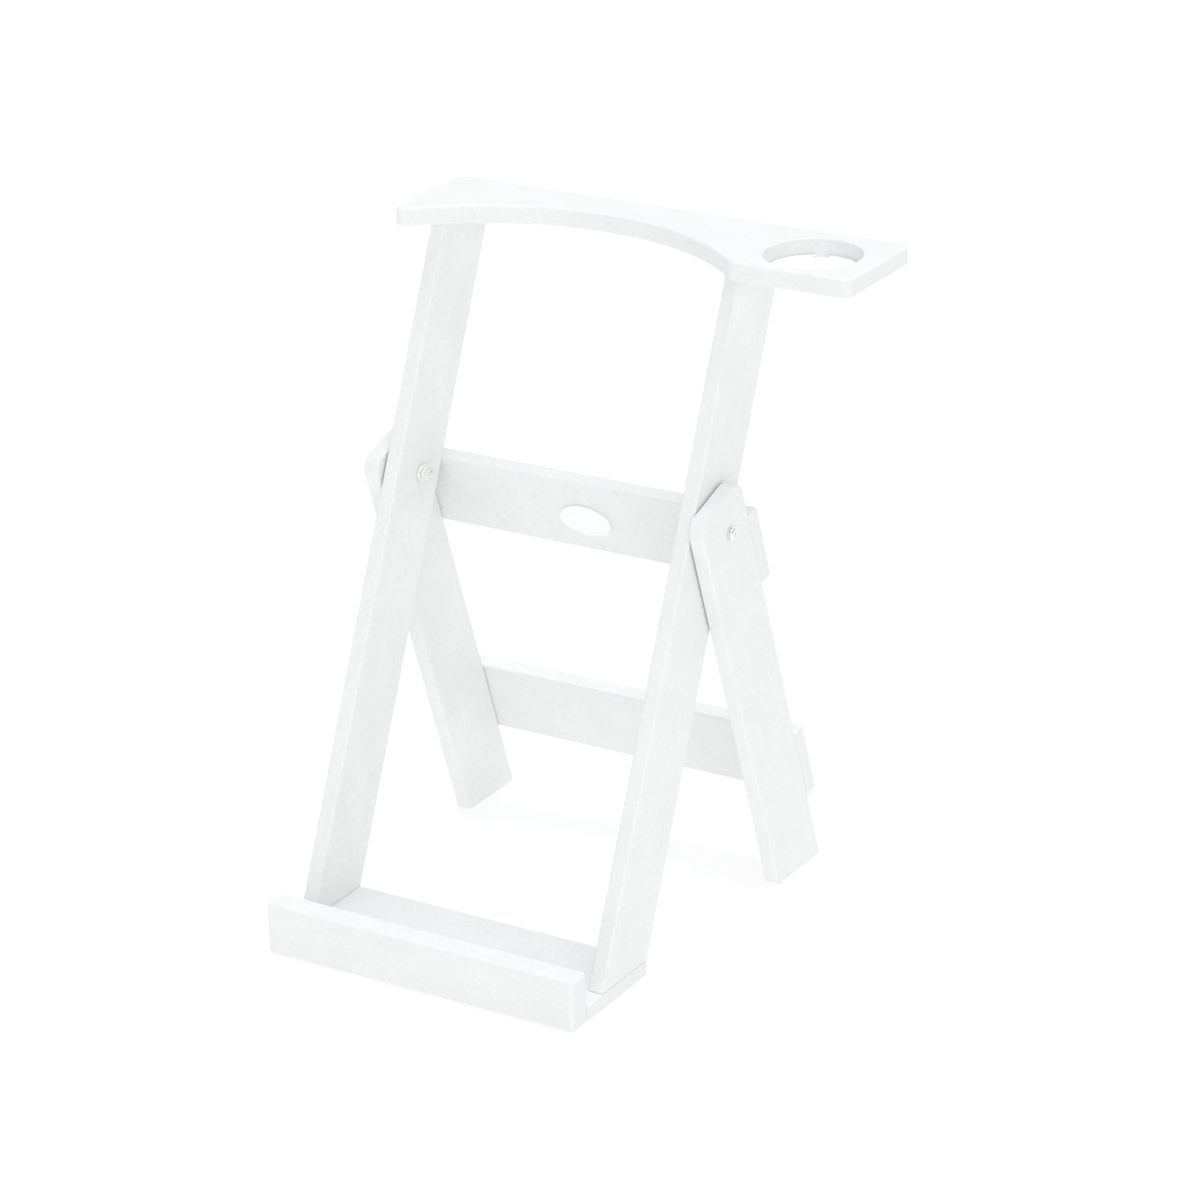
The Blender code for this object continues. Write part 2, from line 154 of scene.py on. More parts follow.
def colour_property(name, description, hex_colour):
    return FloatVectorProperty(
        name=name,
        description=description,
        default=srgb(hex_colour),
        min=0.0,
        max=1.0,
        size=3,
        subtype="COLOR",
    )


class StandBoardSettings(bpy.types.PropertyGroup):
    """Shapes of the boards that their boxes in the model don't tell."""

    stile_lean: angle_property("Stile lean", "How far the stiles lean back from upright", 24.04)
    leg_lean: angle_property("Leg lean", "How far the legs lean forward from upright", 18.34)
    arris: length_property("Arris", "Rounding along a board's edges", 3.0)
    lip_arris: length_property("Lip arris", "Rounding along the lip's edges", 5)
    leg_corner: length_property("Leg corner", "Rounding of a leg's top corners", 18)
    tray_arris: length_property("Tray arris", "Rounding along the tray's edges", 4.5)
    tray_corner: length_property("Tray corner", "Rounding of the tray's corners", 10)
    bag_radius: length_property("Bag rest radius", "Radius of the arc that holds the bag", 295)
    bag_recess: length_property("Bag rest recess", "Depth of the bag rest's arc", 85)
    pocket_rim: length_property("Pocket rim", "Rounding round the cup pocket's mouth", 2)
    pocket_ledge: length_property("Pocket ledge", "Width of the ledge under the cup floor", 6)
    drain_radius: length_property("Drain radius", "Radius of the cup pocket's drain", 9.2)
    drain_left: length_property("Drain left", "Drain's place left of the pocket's middle", 14.5)
    drain_back: length_property("Drain back", "Drain's place behind the pocket's middle", 43.5)


class StandHardwareSettings(bpy.types.PropertyGroup):
    """Sizes of the hinge hardware, the screws and the badge's rim."""

    bolt_radius: length_property("Bolt radius", "Radius of the hinge bolts' shank", 4)
    thread_pitch: length_property("Thread pitch", "Distance between turns of the thread", 1.25)
    thread_length: length_property("Thread length", "Length of thread on the bolt's end", 13)
    socket_radius: length_property("Socket radius", "Corner radius of the bolt's hexagon", 2.9)
    socket_depth: length_property("Socket depth", "Depth of the bolt's hexagon", 2.4)
    collar_height: length_property("Collar height", "Height of a lock nut's round collar", 2.4)
    washer_edge: length_property("Washer edge", "Rounding round a washer's faces", 0.35)
    screw_head: length_property("Screw head", "Height of a screw's countersunk head", 2.7)
    screw_radius: length_property("Screw radius", "Radius of a wood screw's shank", 2.1)
    drive_radius: length_property("Drive radius", "Corner radius of a screw's square drive", 2.1)
    drive_depth: length_property("Drive depth", "Depth of a screw's square drive", 1.8)
    drive_seed: IntProperty(
        name="Drive seed", description="Seed for how far each screw is turned", default=4, min=0
    )
    badge_rim: length_property("Badge rim", "Width of the raised rim round the badge", 1.8)
    badge_panel: length_property("Badge panel", "Depth of the panel inside the rim", 0.6)


class StandFinishSettings(bpy.types.PropertyGroup):
    """Colours, and the real sizes of the patterns in the finishes."""

    lumber: colour_property("Lumber", "Main colour of the plastic lumber", "F4F4F4")
    lumber_shade: colour_property("Lumber streak", "Colour of its darker streaks", "ECEDEC")
    sawn: colour_property("Sawn end", "Colour of the sawn ends", "EFEFEF")
    moulded: colour_property("Moulded plastic", "Colour of the cup floor and badge", "FEFEFF")
    nylon: colour_property("Nylon", "Colour of the spacers and nut inserts", "EFEEE6")
    steel: colour_property("Steel", "Colour of the bolts, nuts and washers", "FAFAF8")
    coating: colour_property("Screw coating", "Colour of the coated screws", "F3F3F3")
    streak_length: length_property("Streak length", "Length of a streak in the lumber", 90)
    streak_width: length_property("Streak width", "Width of a streak in the lumber", 3)
    mottle: length_property("Mottle", "Size of the patches in the lumber's surface", 4)
    pebble: length_property("Pebble", "Size of the fine pebbles in the surface", 1.6)
    saw_pitch: length_property("Saw pitch", "Distance between saw marks on an end", 2.2)


class StandStageSettings(bpy.types.PropertyGroup):
    """Floor, lights and camera."""

    floor: colour_property("Floor", "Colour of the floor", "AAAAAA")
    floor_light: FloatProperty(
        name="Floor light", description="Strength of the light up through the floor", default=0.62
    )
    sky: FloatProperty(name="Sky", description="Strength of the light all round", default=0.68)
    key: FloatProperty(name="Key", description="Strength of the light overhead", default=1.35)
    fill: FloatProperty(
        name="Fill", description="Strength of the light beside the camera", default=0.7
    )
    spread: angle_property("Spread", "How broad each light looks from the stand", 55)
    camera_place: FloatVectorProperty(
        name="Camera place",
        description="Where the camera stands",
        default=(2.3005, -3.4016, 2.1231),
        subtype="TRANSLATION",
        unit="LENGTH",
    )
    camera_turn: angle_property("Camera turn", "How far the camera is turned left", 31.849)
    camera_dip: angle_property("Camera dip", "How far the camera looks down", 22.540)
    camera_roll: angle_property("Camera roll", "How far the camera tilts", -1.593)
    camera_lens: FloatProperty(
        name="Camera lens", description="Focal length in millimetres", default=125.88
    )


# ---------------------------------------------------------------- measuring the model


def extent(node, place=IDENTITY):
    """Lowest and highest corner of a CAD node, as seen from a placed frame."""
    inverse = place.inverted()
    corners = [inverse @ vertex.co for vertex in frame["nodes"][node].data.vertices]
    low = Vector([min(corner[i] for corner in corners) for i in range(3)])
    high = Vector([max(corner[i] for corner in corners) for i in range(3)])
    return low, high


def end_centre(node, direction):
    """Middle of the flat end that a CAD node has furthest along a direction."""
    corners = [vertex.co for vertex in frame["nodes"][node].data.vertices]
    reach = max(corner.dot(direction) for corner in corners)
    ring = {
        tuple(round(value, 5) for value in corner)
        for corner in corners
        if corner.dot(direction) > reach - 0.02 * MM
    }
    return sum((Vector(point) for point in ring), Vector()) / len(ring)


def leg_place(boards):
    """Frame on the hinge axis with Z up along the legs and Y out of their rear edges."""
    return Matrix.Translation(HINGE) @ Matrix.Rotation(boards.leg_lean, 4, "X")


def stile_place(boards):
    """Frame on the hinge axis with Z up along the stiles and Y out of their rear edges."""
    return Matrix.Translation(HINGE) @ Matrix.Rotation(-boards.stile_lean, 4, "X")


def facing(point, direction):
    """Frame at a point with its Z along a direction."""
    return Matrix.Translation(point) @ direction.to_track_quat("Z", "Y").to_matrix().to_4x4()


def screw_facings(boards):
    """Each CAD screw node with the direction that its head faces."""
    rear = leg_place(boards).to_3x3() @ Vector((0, 1, 0))
    ways = {
        "tray_screw": Vector((0, 0, 1)),
        "base_screw": Vector((0, 0, -1)),
        "lip_screw": Vector((0, -1, 0)),
        "upper_rail_screw": rear,
        "lower_rail_screw": rear,
    }
    return {
        node: way
        for start, way in ways.items()
        for node in sorted(frame["nodes"])
        if node.startswith(start)
    }


# ---------------------------------------------------------------- mesh helpers


def add_piece(name, mesh):
    piece = bpy.data.objects.new(name, mesh)
    bpy.context.scene.collection.objects.link(piece)
    return piece


def to_mesh(shape, name):
    """Closes a bmesh into a mesh, its doubles merged and its faces pointing out."""
    bmesh.ops.remove_doubles(shape, verts=shape.verts, dist=0.001 * MM)
    bmesh.ops.recalc_face_normals(shape, faces=shape.faces)
    mesh = bpy.data.meshes.new(name)
    shape.to_mesh(mesh)
    shape.free()
    return mesh


def arc(centre, radius, start, end, steps):
    """Points along an arc in equal steps, with both ends."""
    angles = [start + (end - start) * i / steps for i in range(steps + 1)]
    return [(centre[0] + radius * math.cos(a), centre[1] + radius * math.sin(a)) for a in angles]


def prism(name, outline, low, high, place):
    """An outline in X and Y carried from low to high along Z, then placed."""
    shape = bmesh.new()
    rings = [
        [shape.verts.new(place @ Vector((x, y, z))) for x, y in outline] for z in (low, high)
    ]
    for ring in rings:
        shape.faces.new(ring)
    for i in range(len(outline)):
        j = (i + 1) % len(outline)
        shape.faces.new((rings[0][i], rings[0][j], rings[1][j], rings[1][i]))
    return to_mesh(shape, name)


def rectangle(low, high):
    return [(low.x, low.y), (high.x, low.y), (high.x, high.y), (low.x, high.y)]


def turned(profile, sides, place, shape=None):
    """A profile of (radius, height) turned once round Z, then placed, as a bmesh."""
    shape = shape or bmesh.new()
    corners = [shape.verts.new((radius, 0, height)) for radius, height in profile]
    closed = profile[0][0] > 0
    pairs = list(zip(corners, corners[1:])) + ([(corners[-1], corners[0])] if closed else [])
    edges = [shape.edges.new(pair) for pair in pairs]
    made = bmesh.ops.spin(
        shape, geom=corners + edges, axis=(0, 0, 1), steps=sides, angle=2 * math.pi
    )
    last = {v for v in made["geom_last"] if isinstance(v, bmesh.types.BMVert)}
    linked, todo = set(corners) | last, list(corners) + list(last)
    while todo:
        for edge in todo.pop().link_edges:
            for vertex in edge.verts:
                if vertex not in linked:
                    linked.add(vertex)
                    todo.append(vertex)
    bmesh.ops.transform(shape, matrix=place, verts=list(linked))
    return shape


def cut_with(piece, mesh, operation="DIFFERENCE"):
    """Cuts a piece with a mesh through a Boolean, and leaves a plain mesh."""
    cutter = add_piece(piece.name + "_cutter", mesh)
    modifier = piece.modifiers.new("cut", "BOOLEAN")
    modifier.operation = operation
    modifier.solver = "EXACT"
    modifier.object = cutter
    make_plain(piece)
    bpy.data.objects.remove(cutter)


def make_plain(piece):
    """Swaps a piece's mesh for what its modifiers make of it."""
    graph = bpy.context.evaluated_depsgraph_get()
    mesh = bpy.data.meshes.new_from_object(piece.evaluated_get(graph))
    mesh.name = piece.name
    piece.modifiers.clear()
    piece.data = mesh


def round_edges(piece, radius, steps=ARRIS_STEPS, level_cuts=False):
    """Rounds the real corners, and those round a leaning board's level cuts only a little."""
    shape = bmesh.new()
    shape.from_mesh(piece.data)
    weight = shape.edges.layers.float.new("bevel_weight_edge")
    for edge in shape.edges:
        if edge.calc_face_angle() > REAL_CORNER:
            cut = any(abs(face.normal.z) > 0.99 for face in edge.link_faces)
            edge[weight] = SAWN_SHARE if level_cuts and cut else 1.0
    shape.to_mesh(piece.data)
    shape.free()
    modifier = piece.modifiers.new("round", "BEVEL")
    modifier.width = radius
    modifier.segments = steps
    modifier.limit_method = "WEIGHT"
    make_plain(piece)


def shade(piece):
    """Smooth shading that keeps flats flat and leaves real corners sharp."""
    piece.data.shade_smooth()
    piece.data.set_sharp_from_angle(angle=SHARP_CORNER)
    modifier = piece.modifiers.new("flats", "WEIGHTED_NORMAL")
    modifier.keep_sharp = True
    make_plain(piece)


def finish(piece, material, body, slot, *nodes):
    """Gives a piece its finish and its body, and hides the CAD nodes that it stands for. The slot
    is not used.
    """
    piece.data.materials.clear()
    piece.data.materials.append(material)
    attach(piece, body)
    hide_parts(*nodes)


# ---------------------------------------------------------------- finishes


def add_node(tree, kind, inputs=None, **settings):
    """Adds a node. Each input is another node's output to link, or a value to set."""
    node = tree.nodes.new(kind)
    for name, value in settings.items():
        setattr(node, name, value)
    for name, value in (inputs or {}).items():
        if isinstance(value, bpy.types.NodeSocket):
            tree.links.new(value, node.inputs[name])
        else:
            node.inputs[name].default_value = value
    return node


def new_material(name, colour, roughness, **sockets):
    """A Principled material, its node tree and its shader."""
    material = bpy.data.materials.new(name)
    material.use_nodes = True
    surface = material.node_tree.nodes["Principled BSDF"]
    surface.inputs["Base Color"].default_value = (*colour, 1)
    surface.inputs["Roughness"].default_value = roughness
    for socket, value in sockets.items():
        surface.inputs[socket.replace("_", " ")].default_value = value
    return material, material.node_tree, surface


def noise(tree, vector, size, detail=2.0, roughness=0.5):
    """Noise with patches of a size in metres, from 0 to 1."""
    inputs = {"Vector": vector, "Scale": 1 / size, "Detail": detail, "Roughness": roughness}
    return add_node(tree, "ShaderNodeTexNoise", inputs).outputs["Fac"]


def ranged(tree, value, low, high, to_low, to_high):
    inputs = {"Value": value, "From Min": low, "From Max": high}
    inputs.update({"To Min": to_low, "To Max": to_high})
    return add_node(tree, "ShaderNodeMapRange", inputs).outputs["Result"]


def calculated(tree, operation, first, second):
    return add_node(
        tree, "ShaderNodeMath", {0: first, 1: second}, operation=operation
    ).outputs[0]


def mixed(tree, share, first, second):
    """A colour between two others."""
    mix = add_node(tree, "ShaderNodeMix", {0: share, 6: first, 7: second}, data_type="RGBA")
    return mix.outputs[2]


def bumped(tree, surface, height, distance, strength=1.0):
    inputs = {"Height": height, "Distance": distance, "Strength": strength}
    bump = add_node(tree, "ShaderNodeBump", inputs)
    tree.links.new(bump.outputs["Normal"], surface.inputs["Normal"])


def object_place(tree):
    return add_node(tree, "ShaderNodeTexCoord").outputs["Object"]


def clouded(tree, surface, colour, darkest, pattern, low, high):
    """Colours a surface from full colour to its darkest share, as a pattern rises."""
    darker = [darkest * value for value in colour]
    share = ranged(tree, pattern, low, high, 0, 1)
    tree.links.new(mixed(tree, share, (*colour, 1), (*darker, 1)), surface.inputs["Base Color"])


def roughened(tree, surface, pattern, smoothest, roughest):
    rough = ranged(tree, pattern, 0.3, 0.7, smoothest, roughest)
    tree.links.new(rough, surface.inputs["Roughness"])


def extruded_hdpe_lumber(finishes):
    """High-density polyethylene lumber, foamed, extruded and coloured white right through.

    The eye sees a matt, very slightly pebbled white with faint lengthwise streaks from the
    die, soft cloudy patches, and duller ends with the marks of a saw across them.
    """
    material, tree, surface = new_material(
        "extruded_hdpe_lumber", finishes.lumber, 0.5, IOR=1.54
    )
    grain = add_node(tree, "ShaderNodeAttribute", attribute_name="grain").outputs["Vector"]
    along = add_node(tree, "ShaderNodeAttribute", attribute_name="grain_axis").outputs["Vector"]
    stretch = finishes.streak_width / finishes.streak_length
    drawn = add_node(tree, "ShaderNodeMapping", {"Vector": grain, "Scale": (stretch, 1, 1)})
    streaks = noise(tree, drawn.outputs["Vector"], finishes.streak_width, 4, 0.6)
    mottle = noise(tree, grain, finishes.mottle, 3, 0.6)
    clouds = noise(tree, grain, 12 * finishes.mottle, 2, 0.5)
    # Real pebbles are about 0.5 mm across. They are drawn three times as coarse, to show.
    pebbles = noise(tree, grain, finishes.pebble, 1, 0.5)

    # The ends are where the surface faces along the board.
    normal = add_node(tree, "ShaderNodeTexCoord").outputs["Normal"]
    dot = add_node(tree, "ShaderNodeVectorMath", {0: normal, 1: along}, operation="DOT_PRODUCT")
    ends = ranged(tree, calculated(tree, "ABSOLUTE", dot.outputs["Value"], 0), 0.75, 0.9, 0, 1)
    saw = add_node(
        tree,
        "ShaderNodeTexWave",
        {
            "Vector": grain,
            "Scale": 1 / (6.5 * finishes.saw_pitch),
            "Distortion": 1.5,
            "Detail": 2,
            "Detail Scale": 1.5,
        },
        bands_direction="Y",
    ).outputs["Fac"]
    saw_marks = calculated(tree, "MULTIPLY", saw, ends)

    shades = calculated(tree, "ADD", mottle, calculated(tree, "MULTIPLY", streaks, 0.35))
    shades = calculated(tree, "ADD", shades, calculated(tree, "MULTIPLY", clouds, 0.5))
    share = ranged(tree, shades, 0.65, 1.2, 0, 1)
    colour = mixed(tree, share, (*finishes.lumber, 1), (*finishes.lumber_shade, 1))
    share = calculated(tree, "MULTIPLY", ends, ranged(tree, saw, 0, 1, 0.5, 1))
    colour = mixed(tree, share, colour, (*finishes.sawn, 1))
    tree.links.new(colour, surface.inputs["Base Color"])

    rough = ranged(tree, mottle, 0.3, 0.7, 0.42, 0.58)
    rough = calculated(tree, "ADD", rough, calculated(tree, "MULTIPLY", ends, 0.15))
    tree.links.new(rough, surface.inputs["Roughness"])
    height = calculated(tree, "ADD", pebbles, calculated(tree, "MULTIPLY", streaks, 0.5))
    height = calculated(tree, "ADD", height, calculated(tree, "MULTIPLY", mottle, 1.5))
    height = calculated(tree, "ADD", height, calculated(tree, "MULTIPLY", saw_marks, 1.5))
    bumped(tree, surface, height, 0.12 * MM, 0.8)
    return material


def moulded_hdpe(finishes, name, pitch):
    """Injection-moulded polyethylene: brighter, smoother and glossier than the lumber.

    The eye sees soft reflections with the faint waviness of a large moulded flat.
    """
    material, tree, surface = new_material(name, finishes.moulded, 0.24, IOR=1.54)
    place = object_place(tree)
    waves = noise(tree, place, 4 * pitch, 1)
    roughened(tree, surface, noise(tree, place, pitch, 2), 0.3, 0.4)
    clouded(tree, surface, finishes.moulded, 0.99, waves, 0.35, 0.75)
    bumped(tree, surface, waves, 0.02 * MM)
    return material


def machined_nylon(finishes):
    """Natural nylon, turned from bar: a warm, slightly waxy white with a satin sheen."""
    material, tree, surface = new_material("machined_nylon", finishes.nylon, 0.38, IOR=1.53)
    cloud = noise(tree, object_place(tree), 3 * MM, 2)
    clouded(tree, surface, finishes.nylon, 0.94, cloud, 0.35, 0.7)
    roughened(tree, surface, cloud, 0.32, 0.46)
    bumped(tree, surface, cloud, 0.03 * MM)
    return material


def cold_formed_stainless(finishes):
    """Stainless steel, cold formed and passivated: bright, with fine marks round its axis.

    The eye sees clear white reflections that smear a little along the turning marks.
    """
    material, tree, surface = new_material(
        "cold_formed_stainless", finishes.steel, 0.26, Metallic=1.0
    )
    place = object_place(tree)
    centred = add_node(tree, "ShaderNodeMapping", {"Vector": place, "Location": -HINGE})
    parts = add_node(tree, "ShaderNodeSeparateXYZ", {0: centred.outputs["Vector"]})
    flat = add_node(
        tree, "ShaderNodeCombineXYZ", {"Y": parts.outputs["Y"], "Z": parts.outputs["Z"]}
    )
    radius = add_node(
        tree, "ShaderNodeVectorMath", {0: flat.outputs[0]}, operation="LENGTH"
    ).outputs["Value"]
    along_axis = add_node(
        tree, "ShaderNodeCombineXYZ", {"X": parts.outputs["X"], "Y": radius}
    ).outputs[0]
    # Turning marks are about 0.05 mm apart. They are drawn at 0.4 mm, to show.
    turning = noise(tree, along_axis, 0.4 * MM, 1)
    smudge = noise(tree, place, 5 * MM, 2)
    rough = ranged(tree, turning, 0.3, 0.7, 0.18, 0.3)
    rough = calculated(tree, "ADD", rough, ranged(tree, smudge, 0.4, 0.7, 0, 0.08))
    tree.links.new(rough, surface.inputs["Roughness"])
    clouded(tree, surface, finishes.steel, 0.95, smudge, 0.4, 0.8)
    bumped(tree, surface, turning, 0.01 * MM)
    return material


def baked_white_coating(finishes):
    """Screws in hardened steel under a baked white coating.

    The eye sees a satin white skin with a fine orange peel, and a few bare specks.
    """
    material, tree, surface = new_material(
        "baked_white_coating", finishes.coating, 0.4, IOR=1.5
    )
    place = object_place(tree)
    peel = noise(tree, place, 0.8 * MM, 1)
    specks = ranged(tree, noise(tree, place, 0.6 * MM, 3, 0.7), 0.68, 0.72, 0, 1)
    colour = mixed(tree, specks, (*finishes.coating, 1), (*finishes.steel, 1))
    tree.links.new(colour, surface.inputs["Base Color"])
    tree.links.new(specks, surface.inputs["Metallic"])
    roughened(tree, surface, peel, 0.34, 0.46)
    bumped(tree, surface, peel, 0.04 * MM)
    return material


def backlit_opal_acrylic(stage):
    """Matt opal acrylic, lit from below: an even white that carries only faint shadows."""
    material, _, surface = new_material(
        "backlit_opal_acrylic", stage.floor, 0.9, IOR=1.4, Emission_Strength=stage.floor_light
    )
    surface.inputs["Emission Color"].default_value = (1, 1, 1, 1)
    return material


def shared_material(maker, settings):
    """The material that a maker gives, made once and then reused by name."""
    return bpy.data.materials.get(maker.__name__) or maker(settings)


# ---------------------------------------------------------------- boards


def screw_hole(hardware, node, way):
    """Outline of the cutter for a screw's hole, and for its plug's. The head is at height 0."""
    head, tip = end_centre(node, way), end_centre(node, -way)
    place = facing(head, way)
    head_radius = extent(node, place)[1].x + HOLE_ROOM
    radius = hardware.screw_radius + HOLE_ROOM
    length = (head - tip).length + HOLE_ROOM
    plug = node.replace("screw", "plug")
    if plug in frame["nodes"]:
        high = extent(plug, place)[1]
        top, outer = high.z + CUTTER_PROUD, high.x + PLUG_ROOM
        profile = [(0, top), (outer, top), (outer, 0), (head_radius, 0)]
    else:
        profile = [(0, CUTTER_PROUD), (head_radius, CUTTER_PROUD)]
    profile += [(head_radius, -HOLE_ROOM), (radius, -hardware.screw_head - HOLE_ROOM)]
    return profile + [(radius, -length), (0, -length)], place


def fastener_holes(context):
    """One mesh with a hole's worth of room for each screw and hinge bolt."""
    boards, hardware = context.scene.stand_boards, context.scene.stand_hardware
    shape = bmesh.new()
    for node, way in screw_facings(boards).items():
        profile, place = screw_hole(hardware, node, way)
        turned(profile, HARDWARE_SIDES, place, shape)
    for side in SIDES:
        low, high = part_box("pivot_bolt_" + side)
        radius = hardware.bolt_radius + HOLE_ROOM
        profile = [(0, high.x), (radius, high.x), (radius, low.x), (0, low.x)]
        place = Matrix.Translation((0, HINGE.y, HINGE.z)) @ Matrix.Rotation(QUARTER, 4, "Y")
        turned(profile, HARDWARE_SIDES, place, shape)
    return to_mesh(shape, "fastener_holes")


def lay_grain(piece, place, number):
    """Stores each point's place along, across and through a board, and the board's length."""
    inverse = place.inverted()
    # A stride along the material, so that no two boards show the same streaks.
    shift = number * Vector((0.61, 0.23, 0.07))
    mesh = piece.data
    grain = mesh.attributes.new("grain", "FLOAT_VECTOR", "POINT")
    axis = mesh.attributes.new("grain_axis", "FLOAT_VECTOR", "POINT")
    length = place.to_3x3() @ Vector((1, 0, 0))
    for i, vertex in enumerate(mesh.vertices):
        grain.data[i].vector = inverse @ vertex.co + shift
        axis.data[i].vector = length


def finish_board(context, piece, node, body, grain_place, number, holes):
    cut_with(piece, holes.copy())
    shade(piece)
    lay_grain(piece, grain_place, number)
    material = shared_material(extruded_hdpe_lumber, context.scene.stand_finishes)
    finish(piece, material, body, "white_plastic_lumber", node)


def tray_outline(boards, low, high):
    """Straight ends and back, and the bag rest as one arc in front.

    The nose at the left end and the shoulder at the right of the bag rest are fillets,
    each as far from the bag rest's centre as both radii together.
    """
    corner, radius = boards.tray_corner, boards.bag_radius
    rest_y = low.y + boards.bag_recess - radius
    reach = radius + corner
    left, right = low.x + corner, high.x - corner
    front, rear = low.y + corner, high.y - corner
    nose_y = rest_y + math.sqrt(reach**2 - left**2)
    nose_angle = math.atan2(nose_y - rest_y, left)
    shoulder_x = math.sqrt(reach**2 - (front - rest_y) ** 2)
    shoulder_angle = math.atan2(front - rest_y, shoulder_x)
    steps = CORNER_STEPS
    return (
        arc((left, nose_y), corner, 2 * QUARTER, nose_angle + 2 * QUARTER, 2 * steps)
        + arc((0, rest_y), radius, nose_angle, shoulder_angle, BAG_REST_STEPS)[1:-1]
        + arc((shoulder_x, front), corner, shoulder_angle + 2 * QUARTER, 3 * QUARTER, steps)
        + arc((right, front), corner, 3 * QUARTER, 4 * QUARTER, steps)
        + arc((right, rear), corner, 0, QUARTER, steps)
        + arc((left, rear), corner, QUARTER, 2 * QUARTER, steps)
    )


class STAND_OT_front_boards(bpy.types.Operator):
    """Shape the stiles, the base board and the lip"""

    bl_idname = "stand.front_boards"
    bl_label = "Front Boards"

    def execute(self, context):
        boards = context.scene.stand_boards
        holes = fastener_holes(context)
        for number, (name, node, arris) in enumerate(
            (("base", "base_board", boards.arris), ("lip", "lip_board", boards.lip_arris))
        ):
            low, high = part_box(node)
            mesh = prism(name, rectangle(low, high), low.z, high.z, IDENTITY)
            piece = add_piece(name, mesh)
            round_edges(piece, arris)
            finish_board(context, piece, node, FRONT, IDENTITY, number, holes)
        place = stile_place(boards)
        slope = math.tan(boards.stile_lean)
        for number, side in enumerate(SIDES, 2):
            node = "stile_" + side
            low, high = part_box(node)
            # A leaning board is wider along a level cut than across.
            widening = 1 / math.cos(boards.stile_lean)
            front, rear = (corner.y * widening for corner in extent(node, place))
            outline = [
                (HINGE.y + edge + (z - HINGE.z) * slope, z)
                for edge, z in ((front, low.z), (rear, low.z), (rear, high.z), (front, high.z))
            ]
            piece = add_piece(side + "_stile", prism(node, outline, low.x, high.x, UPRIGHT))
            round_edges(piece, boards.arris, level_cuts=True)
            finish_board(context, piece, node, FRONT, place @ LENGTH_UP, number, holes)
        return {"FINISHED"}


def drain(boards):
    """Cutter for the drain, down through the cup floor's edge and the pocket's ledge."""
    low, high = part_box("cup_floor")
    x, y = (low.x + high.x) / 2 - boards.drain_left, (low.y + high.y) / 2 + boards.drain_back
    radius, foot = boards.drain_radius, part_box("tray_board")[0].z - high.z - CUTTER_PROUD
    # It starts level with the disc, so the pocket's wall above it stays whole.
    profile = [(0, HOLE_ROOM), (radius, HOLE_ROOM), (radius, foot), (0, foot)]
    place = Matrix.Translation((x, y, high.z))
    return to_mesh(turned(profile, HARDWARE_SIDES, place), "drain")


class STAND_OT_tray(bpy.types.Operator):
    """Shape the tray, with its bag rest and cup pocket"""

    bl_idname = "stand.tray"
    bl_label = "Tray"

    def execute(self, context):
        boards = context.scene.stand_boards
        low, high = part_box("tray_board")
        mesh = prism("tray", tray_outline(boards, low, high), low.z, high.z, IDENTITY)
        piece = add_piece("tray", mesh)
        round_edges(piece, boards.tray_arris, 2 * ARRIS_STEPS)
        floor_low, floor_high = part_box("cup_floor")
        centre = (floor_low + floor_high) / 2
        radius = (floor_high.x - floor_low.x) / 2 + HOLE_ROOM
        rim, inner = boards.pocket_rim, radius - boards.pocket_ledge
        ledge, under = floor_low.z - HOLE_ROOM - high.z, low.z - high.z - CUTTER_PROUD
        pocket = [(0, CUTTER_PROUD), (radius + rim, CUTTER_PROUD)]
        pocket += arc((radius + rim, -rim), rim, QUARTER, 2 * QUARTER, ARRIS_STEPS)
        pocket += [(radius, ledge), (inner, ledge), (inner, under), (0, under)]
        place = Matrix.Translation((centre.x, centre.y, high.z))
        cut_with(piece, to_mesh(turned(pocket, POCKET_SIDES, place), "pocket"))
        cut_with(piece, drain(boards))
        finish_board(context, piece, "tray_board", FRONT, IDENTITY, 4, fastener_holes(context))
        return {"FINISHED"}


class STAND_OT_rear_boards(bpy.types.Operator):
    """Shape the legs and the two rails across them"""

    bl_idname = "stand.rear_boards"
    bl_label = "Rear Boards"

    def execute(self, context):
        boards = context.scene.stand_boards
        holes = fastener_holes(context)
        place = leg_place(boards)
        lean, corner = boards.leg_lean, boards.leg_corner
        for number, side in enumerate(SIDES, 5):
            node = "leg_" + side
            low, high = extent(node, place)
            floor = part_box(node)[0].z
            foot = [
                (y, (floor - HINGE.z - y * math.sin(lean)) / math.cos(lean))
                for y in (low.y, high.y)
            ]
            top = high.z - corner
            outline = foot + arc((high.y - corner, top), corner, 0, QUARTER, CORNER_STEPS)
            outline += arc((low.y + corner, top), corner, QUARTER, 2 * QUARTER, CORNER_STEPS)
            piece = add_piece(
                side + "_leg", prism(node, outline, low.x, high.x, place @ UPRIGHT)
            )
            round_edges(piece, boards.arris)
            finish_board(context, piece, node, REAR, place @ LENGTH_UP, number, holes)
        for number, level in enumerate(("upper", "lower"), 7):
            node = level + "_rail"
            low, high = extent(node, place)
            mesh = prism(node, rectangle(low, high), low.z, high.z, place)
            piece = add_piece(level + "_crossrail", mesh)
            round_edges(piece, boards.arris)
            finish_board(context, piece, node, REAR, place, number, holes)
        return {"FINISHED"}


# ---------------------------------------------------------------- cup floor and badge


